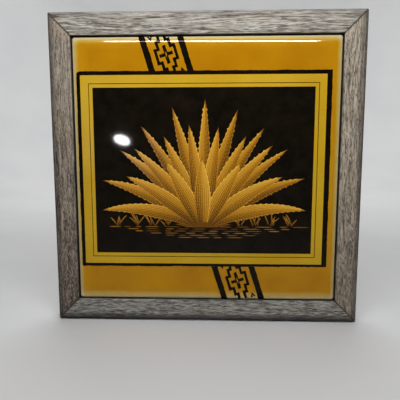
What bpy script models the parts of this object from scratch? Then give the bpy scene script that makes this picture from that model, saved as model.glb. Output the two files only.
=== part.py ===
"""A framed picture tile: a glazed tile in a mitred oak frame, with its backing and its hanger.

Metres, +Z up, and the picture faces -Y. The origin is the middle notch of the hanger, where a
wall nail carries the plaque. Inside the plaque, depths are measured from the frame's front face.
"""

import math

import bmesh
import bpy
from mathutils import Matrix, Vector

# Fits
SEAT_GAP = 0.0003
MITRE_GAP = 0.0003
GLUE_LINE = 0.00015

# Tile
TILE_WIDTH = 0.2032
TILE_HEIGHT = 0.2032
TILE_THICKNESS = 0.0064
TILE_CORNER_RADIUS = 0.0018
TILE_CLEARANCE = 0.0009
TILE_DROP = 0.0003
CUSHION_WIDTH = 0.0042
CUSHION_DROP = 0.0022
CUSHION_STEPS = 6
GROOVE_COUNT = 8
GROOVE_WIDTH = 0.012
GROOVE_DEPTH = 0.0008

# Picture panel, set in from the tile's edges by these margins
PANEL_LEFT = 0.0058
PANEL_RIGHT = 0.0109
PANEL_TOP = 0.0282
PANEL_BOTTOM = 0.0291
PANEL_THICKNESS = 0.0002
PANEL_CORNER_RADIUS = 0.0004

# Moulding
MOULDING_WIDTH = 0.0186
MOULDING_DEPTH = 0.01905
SHOULDER_RADIUS = 0.0076
SHOULDER_STEPS = 8
ARRIS_RADIUS = 0.0006
ARRIS_STEPS = 2
LIP_DEPTH = 0.0080
RABBET_WIDTH = 0.0065

# Backing board and its points
BOARD_THICKNESS = 0.0032
BOARD_CLEARANCE = 0.0008
POINTS_PER_SIDE = 2
POINT_WIDTH = 0.0050
POINT_THICKNESS = 0.0005
POINT_REACH = 0.0085
POINT_DRIVE = 0.0048
POINT_TIP = 0.0022

# Adhesive between the tile and the board, one dab in the middle and one set in from each corner
DAB_RADIUS = 0.012
DAB_THICKNESS = 0.0006
DAB_INSET = 0.0416

# V-nails across the mitres
VNAILS_PER_CORNER = 2
VNAIL_LEG = 0.0036
VNAIL_THICKNESS = 0.0006
VNAIL_LENGTH = 0.0070

# Sawtooth hanger
HANGER_HEIGHT = 0.0080
HANGER_THICKNESS = 0.0008
HANGER_RISE = 0.0020
HANGER_RAMP = 0.0030
HANGER_TAB = 0.0085
HANGER_SHOULDER = 0.0015
HANGER_CORNER_RADIUS = 0.0025
NOTCH_COUNT = 9
NOTCH_PITCH = 0.0026
NOTCH_DEPTH = 0.0013

# Hanger nails
NAIL_RADIUS = 0.0007
NAIL_LENGTH = 0.0100
NAIL_TIP = 0.0018
NAIL_HEAD_RADIUS = 0.0019
NAIL_HEAD_HEIGHT = 0.0008

# Facets
CORNER_STEPS = 3
ROUND_STEPS = 16
DAB_STEPS = 24
MERGE_DISTANCE = 1e-6

# Sizes worked out from those above
OPENING_WIDTH = TILE_WIDTH + 2 * TILE_CLEARANCE
OPENING_HEIGHT = TILE_HEIGHT + 2 * TILE_CLEARANCE
BOARD_FRONT = LIP_DEPTH + SEAT_GAP
BOARD_BACK = BOARD_FRONT + BOARD_THICKNESS
TILE_BACK = BOARD_FRONT - DAB_THICKNESS - 2 * SEAT_GAP
TILE_FRONT = TILE_BACK - TILE_THICKNESS
PANEL_BACK = TILE_FRONT - GLUE_LINE
REAR_BAND = MOULDING_WIDTH - RABBET_WIDTH
HANGER_RAISED = NOTCH_COUNT * NOTCH_PITCH / 2 + HANGER_SHOULDER
HANGER_FLAT = HANGER_RAISED + HANGER_RAMP
HANGER_HALF = HANGER_FLAT + HANGER_TAB
HANGER_BASE = OPENING_HEIGHT / 2 + RABBET_WIDTH + (REAR_BAND - HANGER_HEIGHT) / 2
HANGER_FOOT = MOULDING_DEPTH + SEAT_GAP + HANGER_THICKNESS / 2
NAIL_X = HANGER_FLAT + HANGER_TAB / 2
NAIL_Z = HANGER_BASE + HANGER_HEIGHT / 2
NAIL_SEAT = MOULDING_DEPTH + SEAT_GAP + HANGER_THICKNESS + SEAT_GAP

# A side's turn about Y, which takes its outward direction from +X to where that side faces
QUARTER = math.pi / 2
SIDES = {"right_stile": 0.0, "top_rail": -QUARTER, "left_stile": 2 * QUARTER, "bottom_rail": QUARTER}
CORNERS = {"top_right": 0.0, "top_left": -QUARTER, "bottom_left": 2 * QUARTER, "bottom_right": QUARTER}

# Finishes: colour, roughness and metallic
FINISHES = {
    "weathered_oak": ((0.30, 0.27, 0.23, 1.0), 0.75, 0.0),
    "amber_glaze": ((0.48, 0.20, 0.01, 1.0), 0.12, 0.0),
    "gold_foil": ((0.55, 0.33, 0.03, 1.0), 0.30, 0.6),
    "hardboard": ((0.20, 0.11, 0.06, 1.0), 0.80, 0.0),
    "adhesive": ((0.75, 0.70, 0.58, 1.0), 0.55, 0.0),
    "zinc_steel": ((0.55, 0.55, 0.56, 1.0), 0.40, 0.9),
    "brass_plate": ((0.62, 0.45, 0.18, 1.0), 0.35, 0.9),
}


def clear_scene():
    for old in list(bpy.data.objects):
        bpy.data.objects.remove(old, do_unlink=True)


def new_collection(name):
    collection = bpy.data.collections.new(name)
    bpy.context.scene.collection.children.link(collection)
    return collection


def finish(name):
    """The Principled material of this name, made the first time it is asked for."""
    if name in bpy.data.materials:
        return bpy.data.materials[name]
    colour, roughness, metallic = FINISHES[name]
    material = bpy.data.materials.new(name)
    material.use_nodes = True
    shader = material.node_tree.nodes["Principled BSDF"]
    shader.inputs["Base Color"].default_value = colour
    shader.inputs["Roughness"].default_value = roughness
    shader.inputs["Metallic"].default_value = metallic
    return material


def arc(centre, radius, start, end, steps, radius_2=None):
    """Points on an arc about centre, from angle start to angle end, both ends included."""
    radius_2 = radius if radius_2 is None else radius_2
    angles = [start + (end - start) * step / steps for step in range(steps + 1)]
    return [(centre[0] + radius * math.cos(a), centre[1] + radius_2 * math.sin(a)) for a in angles]


def rounded_rectangle(width, height, radius, steps=CORNER_STEPS):
    points = []
    for turn, (sign_x, sign_z) in enumerate([(1, 1), (-1, 1), (-1, -1), (1, -1)]):
        centre = (sign_x * (width / 2 - radius), sign_z * (height / 2 - radius))
        points += arc(centre, radius, turn * QUARTER, (turn + 1) * QUARTER, steps)
    return points


def edit_mesh(mesh, change):
    """Runs change on the mesh's bmesh, and writes it back with its normals facing out."""
    bm = bmesh.new()
    bm.from_mesh(mesh)
    change(bm)
    bmesh.ops.recalc_face_normals(bm, faces=bm.faces)
    bm.to_mesh(mesh)
    bm.free()
    return mesh


def weld(bm):
    bmesh.ops.remove_doubles(bm, verts=bm.verts, dist=MERGE_DISTANCE)


def prism(name, outlines, thickness):
    """A mesh of the first outline, with the others as holes, drawn in XY and thick along Z."""
    curve = bpy.data.curves.new(name, "CURVE")
    curve.dimensions = "2D"
    curve.fill_mode = "BOTH"
    curve.extrude = thickness / 2
    for outline in outlines:
        spline = curve.splines.new("POLY")
        spline.points.add(len(outline) - 1)
        spline.use_cyclic_u = True
        for point, (x, y) in zip(spline.points, outline):
            point.co = (x, y, 0, 1)
    guide = bpy.data.objects.new(name, curve)
    bpy.context.scene.collection.objects.link(guide)
    depsgraph = bpy.context.evaluated_depsgraph_get()
    mesh = bpy.data.meshes.new_from_object(guide.evaluated_get(depsgraph))
    bpy.data.objects.remove(guide)
    bpy.data.curves.remove(curve)
    return edit_mesh(mesh, weld)


def plate(name, outlines, thickness):
    """A prism stood up: drawn in XZ, as seen from the front, and thick along Y about its middle."""
    mesh = prism(name, outlines, thickness)
    mesh.transform(Matrix.Rotation(QUARTER, 4, "X"))
    return mesh


def block(name, size):
    mesh = bpy.data.meshes.new(name)
    return edit_mesh(
        mesh, lambda bm: bmesh.ops.create_cube(bm, size=1, matrix=Matrix.Diagonal((*size, 1)))
    )


def profile_mesh(name, points):
    """An open profile in XZ, listed from its top to its bottom, for a Screw modifier."""
    mesh = bpy.data.meshes.new(name)
    mesh.from_pydata(
        [(x, 0, z) for x, z in points], [(i, i + 1) for i in range(len(points) - 1)], []
    )
    return mesh


class Plaque:
    """The assembly: its collections, and the empty that every piece hangs from."""

    def __init__(self):
        self.parts = new_collection("framed_picture_tile")
        self.cutters = new_collection("cutters")
        self.root = bpy.data.objects.new("plaque", None)
        self.parts.objects.link(self.root)
        seat_depth = HANGER_FOOT + HANGER_RISE
        seat_height = HANGER_BASE + NOTCH_DEPTH
        self.root.location = (0, -seat_depth, -seat_height)

    def place(self, name, mesh, location, rotation=(0, 0, 0), look=None):
        """Adds a piece, or a cutter if it has no look. location is x, depth and z."""
        piece = bpy.data.objects.new(name, mesh)
        piece.parent = self.root
        piece.location = location
        piece.rotation_euler = rotation
        if look is None:
            self.cutters.objects.link(piece)
            piece.hide_render = True
            piece.display_type = "WIRE"
        else:
            self.parts.objects.link(piece)
            mesh.materials.append(finish(look))
        return piece


def cut(piece, cutter):
    boolean = piece.modifiers.new(cutter.name, "BOOLEAN")
    boolean.operation = "DIFFERENCE"
    boolean.object = cutter


def turn(piece, steps):
    """Turns the piece's profile about its own Z axis, shaded smooth."""
    screw = piece.modifiers.new("turned", "SCREW")
    screw.steps = steps
    screw.render_steps = steps
    screw.use_merge_vertices = True
    screw.merge_threshold = MERGE_DISTANCE
    screw.use_smooth_shade = True


def side_point(angle, outward, along=0.0, depth=0.0):
    """Where a point of one side lies: outward from its sight edge, along the side, and deep."""
    across = OPENING_WIDTH if abs(math.cos(angle)) > 0.5 else OPENING_HEIGHT
    point = Matrix.Rotation(angle, 3, "Y") @ Vector((across / 2 + outward, 0, along))
    return (point.x, depth, point.z)


def side_length(angle):
    return OPENING_HEIGHT if abs(math.cos(angle)) > 0.5 else OPENING_WIDTH


def moulding_profile():
    """The section, outward from the sight edge against depth: lip, face, shoulder and rabbet."""
    ease = ARRIS_RADIUS
    wide = MOULDING_WIDTH
    deep = MOULDING_DEPTH
    points = [(0, LIP_DEPTH)]
    points += arc((ease, ease), ease, 2 * QUARTER, 3 * QUARTER, ARRIS_STEPS)
    shoulder = (wide - SHOULDER_RADIUS, SHOULDER_RADIUS)
    points += arc(shoulder, SHOULDER_RADIUS, -QUARTER, 0, SHOULDER_STEPS)
    points += arc((wide - ease, deep - ease), ease, 0, QUARTER, ARRIS_STEPS)
    points += [(RABBET_WIDTH, deep), (RABBET_WIDTH, LIP_DEPTH)]
    return points


def moulding_mesh(name, length):
    """One side of the frame, its ends slid along until they lie on the mitre planes."""
    mesh = prism(name, [moulding_profile()], length)
    setback = MITRE_GAP * math.sqrt(0.5)

    def mitre(bm):
        for vert in bm.verts:
            end = math.copysign(1, vert.co.z)
            vert.co.z = end * (length / 2 + vert.co.x - setback)

    return edit_mesh(mesh, mitre)


def add_mouldings(plaque):
    rails = {}
    for name, angle in SIDES.items():
        mesh = moulding_mesh(name, side_length(angle))
        place = side_point(angle, outward=0)
        rails[name] = plaque.place(name, mesh, place, (0, angle, 0), "weathered_oak")
    return rails


def tile_mesh():
    """Rings of the tile's outline, from its back to the face inside its cushioned edge."""
    rings = [(0.0, TILE_THICKNESS)]
    for step in range(CUSHION_STEPS + 1):
        angle = QUARTER * step / CUSHION_STEPS
        rings.append((CUSHION_WIDTH * (1 - math.cos(angle)), CUSHION_DROP * (1 - math.sin(angle))))
    least_radius = TILE_CORNER_RADIUS / 4

    def loft(bm):
        loops = []
        for inset, depth in rings:
            radius = max(TILE_CORNER_RADIUS - inset, least_radius)
            outline = rounded_rectangle(TILE_WIDTH - 2 * inset, TILE_HEIGHT - 2 * inset, radius)
            loops.append([bm.verts.new((x, depth, z)) for x, z in outline])
        for lower, upper in zip(loops, loops[1:]):
            for i in range(len(lower)):
                j = (i + 1) % len(lower)
                bm.faces.new((lower[i], lower[j], upper[j], upper[i]))
        bm.faces.new(loops[0])
        bm.faces.new(loops[-1])

    return edit_mesh(bpy.data.meshes.new("ceramic_tile"), loft)


def add_tile(plaque):
    tile = plaque.place("ceramic_tile", tile_mesh(), (0, TILE_FRONT, -TILE_DROP), look="amber_glaze")
    pitch = TILE_WIDTH / GROOVE_COUNT
    size = (GROOVE_WIDTH, 2 * GROOVE_DEPTH, TILE_HEIGHT + 2 * TILE_CLEARANCE)
    first = -(GROOVE_COUNT - 1) * pitch / 2
    groove = plaque.place("tile_grooves", block("tile_grooves", size), (first, TILE_BACK, -TILE_DROP))
    rows = groove.modifiers.new("rows", "ARRAY")
    rows.count = GROOVE_COUNT
    rows.use_relative_offset = False
    rows.use_constant_offset = True
    rows.constant_offset_displace = (pitch, 0, 0)
    rows.use_merge_vertices = False
    cut(tile, groove)


def add_picture_panel(plaque):
    width = TILE_WIDTH - PANEL_LEFT - PANEL_RIGHT
    height = TILE_HEIGHT - PANEL_TOP - PANEL_BOTTOM
    mesh = plate("picture_panel", [rounded_rectangle(width, height, PANEL_CORNER_RADIUS)], PANEL_THICKNESS)
    x = (PANEL_LEFT - PANEL_RIGHT) / 2
    z = (PANEL_BOTTOM - PANEL_TOP) / 2 - TILE_DROP
    place = (x, PANEL_BACK - PANEL_THICKNESS / 2, z)
    plaque.place("picture_panel", mesh, place, look="gold_foil")


def add_backing_board(plaque):
    margin = RABBET_WIDTH - BOARD_CLEARANCE
    size = (OPENING_WIDTH + 2 * margin, BOARD_THICKNESS, OPENING_HEIGHT + 2 * margin)
    place = (0, BOARD_FRONT + BOARD_THICKNESS / 2, 0)
    plaque.place("backing_board", block("backing_board", size), place, look="hardboard")


def add_adhesive(plaque):
    rim = DAB_THICKNESS / 2
    profile = [(0, rim)] + arc((DAB_RADIUS - rim, 0), rim, QUARTER, -QUARTER, 4) + [(0, -rim)]
    depth = TILE_BACK + SEAT_GAP + rim
    spread_x = TILE_WIDTH / 2 - DAB_INSET
    spread_z = TILE_HEIGHT / 2 - DAB_INSET
    spots = [(0, 0), (-1, 1), (1, 1), (-1, -1), (1, -1)]
    for number, (x, z) in enumerate(spots, start=1):
        name = f"adhesive_dab_{number}"
        place = (x * spread_x, depth, z * spread_z - TILE_DROP)
        dab = plaque.place(name, profile_mesh(name, profile), place, (-QUARTER, 0, 0), "adhesive")
        turn(dab, DAB_STEPS)


def vnail_outline(leg, thickness):
    """Two legs at a right angle, each into its own side, which meet on the mitre."""
    half = thickness / 2
    return [(-half, -half), (leg, -half), (leg, half), (half, half), (half, leg), (-half, leg)]


def add_vnails(plaque, rails):
    slot_leg = VNAIL_LEG + SEAT_GAP
    slot_thickness = VNAIL_THICKNESS + 2 * SEAT_GAP
    slot_length = VNAIL_LENGTH + 2 * SEAT_GAP
    for corner, angle in CORNERS.items():
        meeting = [rails[name] for name in rails if set(name.split("_")) & set(corner.split("_"))]
        for number in range(1, VNAILS_PER_CORNER + 1):
            share = (number - 0.5) / VNAILS_PER_CORNER
            outward = RABBET_WIDTH + REAR_BAND * share - VNAIL_LEG / 2
            sign_x = -1 if "left" in corner else 1
            sign_z = -1 if "bottom" in corner else 1
            x = sign_x * (OPENING_WIDTH / 2 + outward)
            z = sign_z * (OPENING_HEIGHT / 2 + outward)
            name = f"v_nail_{corner}_{number}"
            nail = plate(name, [vnail_outline(VNAIL_LEG, VNAIL_THICKNESS)], VNAIL_LENGTH)
            middle = MOULDING_DEPTH - VNAIL_LENGTH / 2
            plaque.place(name, nail, (x, middle, z), (0, angle, 0), "zinc_steel")
            slot = plate(f"{name}_slot", [vnail_outline(slot_leg, slot_thickness)], slot_length)
            cutter = plaque.place(f"{name}_slot", slot, (x, middle, z), (0, angle, 0))
            for rail in meeting:
                cut(rail, cutter)


def point_outline(half_width, reach, drive):
    """A flat tab, blunt over the board and pointed where it is driven into the rabbet's wall."""
    neck = drive - POINT_TIP
    return [
        (-reach, -half_width),
        (neck, -half_width),
        (drive, 0),
        (neck, half_width),
        (-reach, half_width),
    ]


def add_points(plaque, rails):
    depth = BOARD_BACK + SEAT_GAP + POINT_THICKNESS / 2
    slot_half = POINT_WIDTH / 2 + SEAT_GAP
    slot_thickness = POINT_THICKNESS + 2 * SEAT_GAP
    for side, rail in rails.items():
        angle = SIDES[side]
        for number in range(1, POINTS_PER_SIDE + 1):
            along = side_length(angle) * ((number - 0.5) / POINTS_PER_SIDE - 0.5)
            place = side_point(angle, RABBET_WIDTH, along, depth)
            name = f"framers_point_{side}_{number}"
            outline = point_outline(POINT_WIDTH / 2, POINT_REACH, POINT_DRIVE)
            mesh = plate(name, [outline], POINT_THICKNESS)
            plaque.place(name, mesh, place, (0, angle, 0), "zinc_steel")
            outline = point_outline(slot_half, SEAT_GAP, POINT_DRIVE + SEAT_GAP)
            mesh = plate(f"{name}_slot", [outline], slot_thickness)
            cut(rail, plaque.place(f"{name}_slot", mesh, place, (0, angle, 0)))


def hanger_outline():
    """A strip with rounded ends and a row of notches along its lower edge, the middle one at x 0."""
    round_end = HANGER_CORNER_RADIUS
    points = [(-HANGER_HALF + round_end, 0), (-NOTCH_COUNT * NOTCH_PITCH / 2, 0)]
    for number in range(NOTCH_COUNT):
        middle = (number - (NOTCH_COUNT - 1) / 2) * NOTCH_PITCH
        points += [(middle, NOTCH_DEPTH), (middle + NOTCH_PITCH / 2, 0)]
    low = round_end
    high = HANGER_HEIGHT - round_end
    right = HANGER_HALF - round_end
    points += arc((right, low), round_end, -QUARTER, 0, CORNER_STEPS)
    points += arc((right, high), round_end, 0, QUARTER, CORNER_STEPS)
    points += arc((-right, high), round_end, QUARTER, 2 * QUARTER, CORNER_STEPS)
    points += arc((-right, low), round_end, 2 * QUARTER, 3 * QUARTER, CORNER_STEPS)[:-1]
    return points


def hanger_mesh():
    """The strip, folded so that its notched middle stands off the frame for the nail's head."""
    hole_radius = NAIL_RADIUS + SEAT_GAP
    full_turn = 2 * math.pi
    outlines = [hanger_outline()]
    for x in (-NAIL_X, NAIL_X):
        ring = arc((x, HANGER_HEIGHT / 2), hole_radius, 0, full_turn, ROUND_STEPS)
        outlines.append(ring[:-1])
    mesh = plate("sawtooth_hanger", outlines, HANGER_THICKNESS)

    def fold(bm):
        for x in (-HANGER_FLAT, -HANGER_RAISED, HANGER_RAISED, HANGER_FLAT):
            everything = bm.verts[:] + bm.edges[:] + bm.faces[:]
            bmesh.ops.bisect_plane(bm, geom=everything, plane_co=(x, 0, 0), plane_no=(1, 0, 0))
        for vert in bm.verts:
            climb = (HANGER_FLAT - abs(vert.co.x)) / HANGER_RAMP
            vert.co.y += HANGER_RISE * min(max(climb, 0), 1)

    return edit_mesh(mesh, fold)


def nail_profile():
    """A round-headed nail, its head's seat at z 0 and its point below."""
    dome = arc((0, 0), NAIL_HEAD_RADIUS, QUARTER, 0, 4, NAIL_HEAD_HEIGHT)
    dome[0] = (0, NAIL_HEAD_HEIGHT)
    return dome + [(NAIL_RADIUS, 0), (NAIL_RADIUS, NAIL_TIP - NAIL_LENGTH), (0, -NAIL_LENGTH)]


def add_hanger(plaque, top_rail):
    plaque.place("sawtooth_hanger", hanger_mesh(), (0, HANGER_FOOT, HANGER_BASE), look="brass_plate")
    bore_radius = NAIL_RADIUS + SEAT_GAP
    bore_length = 2 * (NAIL_LENGTH + SEAT_GAP)
    for side, x in (("left", -NAIL_X), ("right", NAIL_X)):
        name = f"hanger_nail_{side}"
        place = (x, NAIL_SEAT, NAIL_Z)
        nail = plaque.place(name, profile_mesh(name, nail_profile()), place, (-QUARTER, 0, 0), "brass_plate")
        turn(nail, ROUND_STEPS)
        bore = bpy.data.meshes.new(f"{name}_bore")
        edit_mesh(
            bore,
            lambda bm: bmesh.ops.create_cone(
                bm,
                cap_ends=True,
                segments=ROUND_STEPS,
                radius1=bore_radius,
                radius2=bore_radius,
                depth=bore_length,
            ),
        )
        cut(top_rail, plaque.place(f"{name}_bore", bore, place, (-QUARTER, 0, 0)))


def main():
    clear_scene()
    plaque = Plaque()
    rails = add_mouldings(plaque)
    add_tile(plaque)
    add_picture_panel(plaque)
    add_backing_board(plaque)
    add_adhesive(plaque)
    add_vnails(plaque, rails)
    add_points(plaque, rails)
    add_hanger(plaque, rails["top_rail"])
    bpy.context.view_layer.update()


main()
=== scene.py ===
"""The looks of a framed picture tile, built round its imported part.

Metres, +Z up, and the picture faces -Y. Places come from the frame. Patterns on the tile and in
the wood are laid out in millimetres: x to the right and z up from the tile's middle.
"""

import math

import bmesh
import bpy
import numpy as np
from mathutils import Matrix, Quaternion, Vector


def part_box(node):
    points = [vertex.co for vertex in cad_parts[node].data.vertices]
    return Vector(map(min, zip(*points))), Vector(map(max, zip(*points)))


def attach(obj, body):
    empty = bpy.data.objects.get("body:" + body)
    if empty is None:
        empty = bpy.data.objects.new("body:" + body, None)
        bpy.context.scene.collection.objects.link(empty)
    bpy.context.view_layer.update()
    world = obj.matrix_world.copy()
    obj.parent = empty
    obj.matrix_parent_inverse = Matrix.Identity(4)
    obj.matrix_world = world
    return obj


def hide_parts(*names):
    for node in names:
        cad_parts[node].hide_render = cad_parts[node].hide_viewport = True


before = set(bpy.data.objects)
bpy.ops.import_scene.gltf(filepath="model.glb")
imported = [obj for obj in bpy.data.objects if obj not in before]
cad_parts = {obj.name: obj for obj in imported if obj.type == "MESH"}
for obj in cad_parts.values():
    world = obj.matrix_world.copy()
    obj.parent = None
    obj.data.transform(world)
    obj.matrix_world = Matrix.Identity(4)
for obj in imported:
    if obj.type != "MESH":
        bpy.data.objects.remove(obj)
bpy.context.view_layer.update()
MM = 0.001

# Camera, for an image as wide as it is high: metres, degrees, and millimetres for its lens
CAMERA_PLACE = (0.0067, -0.3461, -0.0957)
CAMERA_TURN = (83.22, 0.04, 1.97)
SENSOR = 36.0
FOCAL_LENGTH = 37.8
NEAREST_SEEN = 0.01

# Frame moulding, with a column for each side. A pair under tone_spread is for a side's two ends, and one
# under speck_size is along and across the grain.
RAIL_NAMES = ("top_rail", "bottom_rail", "left_stile", "right_stile")
RAIL_TRAITS = {
    "outward": ((0, 1), (0, -1), (-1, 0), (1, 0)),
    "pale": ((188, 184, 175), (173, 171, 164), (158, 147, 132), (184, 173, 156)),
    "mid": ((142, 137, 128), (126, 124, 118), (113, 102, 91), (133, 123, 109)),
    "dark": ((74, 68, 62), (69, 66, 62), (62, 54, 48), (72, 64, 57)),
    # Painted shade on the shoulder's turn: most on the bottom rail, which faces down, least on the top
    # rail
    "shoulder_painted_shade": (0.15, 0.95, 0.6, 0.55),
    # Painted shade down the stiles: their tone falls toward the foot, away from the light above
    "painted_falloff": (0.0, 0.0, 0.2, 0.05),
    "tone_spread": ((1.0, 1.0), (0.65, 0.65), (0.8, 1.25), (0.45, 1.1)),
    "broad_share": (0.26, 0.14, 0.16, 0.12),
    "streak_length": (17, 10, 11, 12),
    "vessel_share": (0.8, 0.62, 0.62, 0.45),
    "crest_share": (0.35, 0.8, 0.6, 0.3),
    "speck_share": (0.7, 0.9, 0.7, 0.7),
    "speck_size": ((9.0, 0.75), (6.0, 0.78), (2.6, 0.8), (3.0, 0.85)),
    "ray_slant": (5, -6, -14, -36),
    "ray_start": (0.58, 0.58, 0.57, 0.54),
}
RAILS = {name: {trait: row[i] for trait, row in RAIL_TRAITS.items()} for i, name in enumerate(RAIL_NAMES)}
LIP_DEPTH = 8.0
RABBET_WIDTH = 6.5
SHOULDER_RADIUS = 7.6
ARRIS_RADIUS = 0.6
MITRE_SETBACK = 0.1
BACK_PLANED = 0.06
GRAIN_STEP = 1.1
MITRE_STEPS = (0.12, 0.35, 0.8)

# Oak: sizes of its marks along and across the grain, their colours, and the tones of dark to pale wood
GRAIN_SIZES = {
    "fibre": (9.0, 0.4),
    "vessel": (11.0, 0.7),
    "ray": (6.0, 0.6),
    "flock": (16.0, 5.0),
    "cloud": (30.0, 6.0),
}
GRAIN_COLOURS = {
    "fibre": (78, 70, 62),
    "vessel": (58, 50, 44),
    "speck": (52, 44, 38),
    "pore": (44, 37, 32),
    # Colour of the painted shade on the lip and the shoulders
    "darkening": (34, 33, 33),
}
TONE_STOPS = (0.24, 0.46, 0.68)
WARM_TINT = (1.06, 1.0, 0.94, 1)
COOL_TINT = (0.96, 1.0, 1.03, 1)
RAY_RISE = 0.1

# Oak as modelled: cells of noise across and along the grain, and marks by count, half length and width
BEND_CELLS = (14, 60)
WANDER_CELLS = (4, 16)
BROAD_CELLS = (4.0, 50)
SWELL_CELLS = (6, 30)
STREAK_CELL = 0.9
FIBRE_CELL = 0.5
BEND = 5.0
WANDER = 0.8
RING_PITCH = 3.2
RING_SHARE = 0.12
STREAK_SHARE = 0.36
PLAIN_SHARE = 0.52
SHAKES = (60, (3.5, 10.0), (0.3, 0.55))
PORES = (420, (1.5, 6.0), (0.2, 0.45))
CHIPS = (40, (0.8, 2.6), (0.4, 1.0))
SHAKE_TONE = 0.4

# Relief of the oak, where it chips and opens, and how dark its pores, chips and mitres are. Then the
# painted
# shade: on the lip in the gap by the tile, and on the shoulder's turn, eased off on the outer side and at
# the back
SWELL_HEIGHT = 0.10
STREAK_DEPTH = 0.07
PORE_DEPTH = 0.16
CHIP_DEPTH = 0.45
MITRE_DEPTH = 0.24
MITRE_FADE = 0.55
CHIP_START = 0.4
CHIP_FADE = 2.2
CHIPPED_ROUGHNESS = 0.7
OPENED_ROUGHNESS = 0.6
PORE_SHADE = 0.75
CHIP_SHADE = 0.8
MITRE_SHADE = 1.15
DARKEST_PORE = 0.97
# Painted shade: how it grows down the lip, how dark it is there, and how it eases off on the outer side
# and at the back
LIP_FADE = 1.5
LIP_PAINTED_SHADE = 0.95
SIDE_FADE = 4.0
SIDE_SHADE_EASE = 0.85
BACK_SHADE_EASE = 0.75

# Glazed tile
GROOVE_COUNT = 8
GROOVE_WIDTH = 12.0
GROOVE_DEPTH = 0.8
CUSHION_WIDTH = 5.6
CUSHION_DROP = 2.2
CUSHION_STEPS = 14
FACE_RINGS = (7.2, 9.0)
GLAZE_SKIRT = 1.2
RIM_RADIUS = 1.8
FACE_RADIUS = 3.6
CORNER_STEPS = 10
TILE_SHARP_ANGLE = 40

# Glaze: how far in from each edge it breaks to cream, partly the glaze thinning and partly a painted
# reflection on the rounded rim, how much sooner it stops breaking low on the sides, how far in it lies
# thin, its colours as it breaks, its tints, and how far behind the face it ends
BREAK_AND_SHEEN_REACH = {"left": 6.9, "right": 5.6, "head": 6.7, "foot": 8.2}
LOW_SIDE_NARROWING = 0.45
SIDE_THIN_REACH = 14.0
HEAD_THIN_REACH = 10.0
BREAK_AND_SHEEN_COLOURS = {
    0.1: (192, 178, 140),
    0.2: (192, 173, 120),
    0.34: (184, 154, 76),
    0.54: (180, 142, 44),
    0.8: (170, 120, 14),
}
THIN_TINT = (1.28, 1.42, 2.0, 1)
LOW_TINT = (1.07, 1.13, 0.5, 1)
BREAK_AND_SHEEN_WANDER = 0.055
GLAZE_LINE = (2.36, 2.52)

# Printed border and the leaning band of ornament. An edge is a step, and its fine and slow wander.
BORDER_LEFT = -98.7
BORDER_RIGHT = 94.65
BORDER_TOP = 76.45
BORDER_BOTTOM = -75.1
BORDER_UNDERLAP = 1.2
BORDER_CORNER = 2.6
BORDER_EDGE = (0.7, 0.06, 0.09)
FOOT_RISE = 0.5
FOOT_BEND = (40, 0.35)
FOOT_CHAMFER = (0.9, 0.8)
INK_THICKNESS = 0.05
BAND_INK_THICKNESS = 0.035
BAND_LEAN = math.radians(17.4)
UPPER_MOTIF = (-29.8, 88.4)
LOWER_MOTIF = (25.2, -86.2)
STRIPES = ((-16.4, -11.8), (11.5, 16.1))
CROSS_LONG = 6.9
CROSS_SHORT = 5.2
CROSS_HALF_STROKE = 1.25
SLIT_HALF_LENGTH = 2.9
SLIT_HALF_WIDTH = 0.55
LOZENGE_STEPS = ((7.4, 5.0), (4.7, 10.4), (2.5, 16.0))
LOZENGE_HALF_STROKE = 1.1
BARB_PLACE = (8.2, 12.3)
BARB_HEIGHT = 4.2
BARB_HALF_WIDTH = 2.1
BARB_NOTCH_WIDTH = 0.24
BARB_NOTCH_TOP = 0.58
STRIPE_RUN = 14
BAND_EDGE = (0.6, 0.07, 0.05)
BAND_INSET = 0.12
BAND_LAP = 0.3

# Strength of the mirror on glaze and foil, on the rim where the glaze breaks, on ink and on the field
GLOSS = 0.16
RIM_GLOSS = 0.6
INK_GLOSS = 0.09
FIELD_GLOSS = 0.08

# Lines and field on the picture panel
PRINT_SHIFT = (0.4, -0.35)
RULE_INSET = 5.7
RULE_WIDTH = 0.6
FIELD_INSET = 8.9
PRINT_STEP = 0.03
PRINT_CORNER = 0.3

# Length that one band of a wave texture spans at a scale of 1
WAVE_SPAN = math.pi / 10

# First seed of each set of random draws
FRAME_SEED = 11
BORDER_SEED = 41
BAND_SEED = 51
PICTURE_SEED = 71

# Sockets of a mix node that hold colours, by number
MIX_FIRST = 6
MIX_SECOND = 7
MIX_RESULT = 2


def paint(red, green, blue):
    """A colour given as it looks on a screen, 0 to 255, as a linear one."""
    shares = [value / 255 for value in (red, green, blue)]
    linear = [s / 12.92 if s <= 0.04045 else ((s + 0.055) / 1.055) ** 2.4 for s in shares]
    return (*linear, 1.0)


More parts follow.
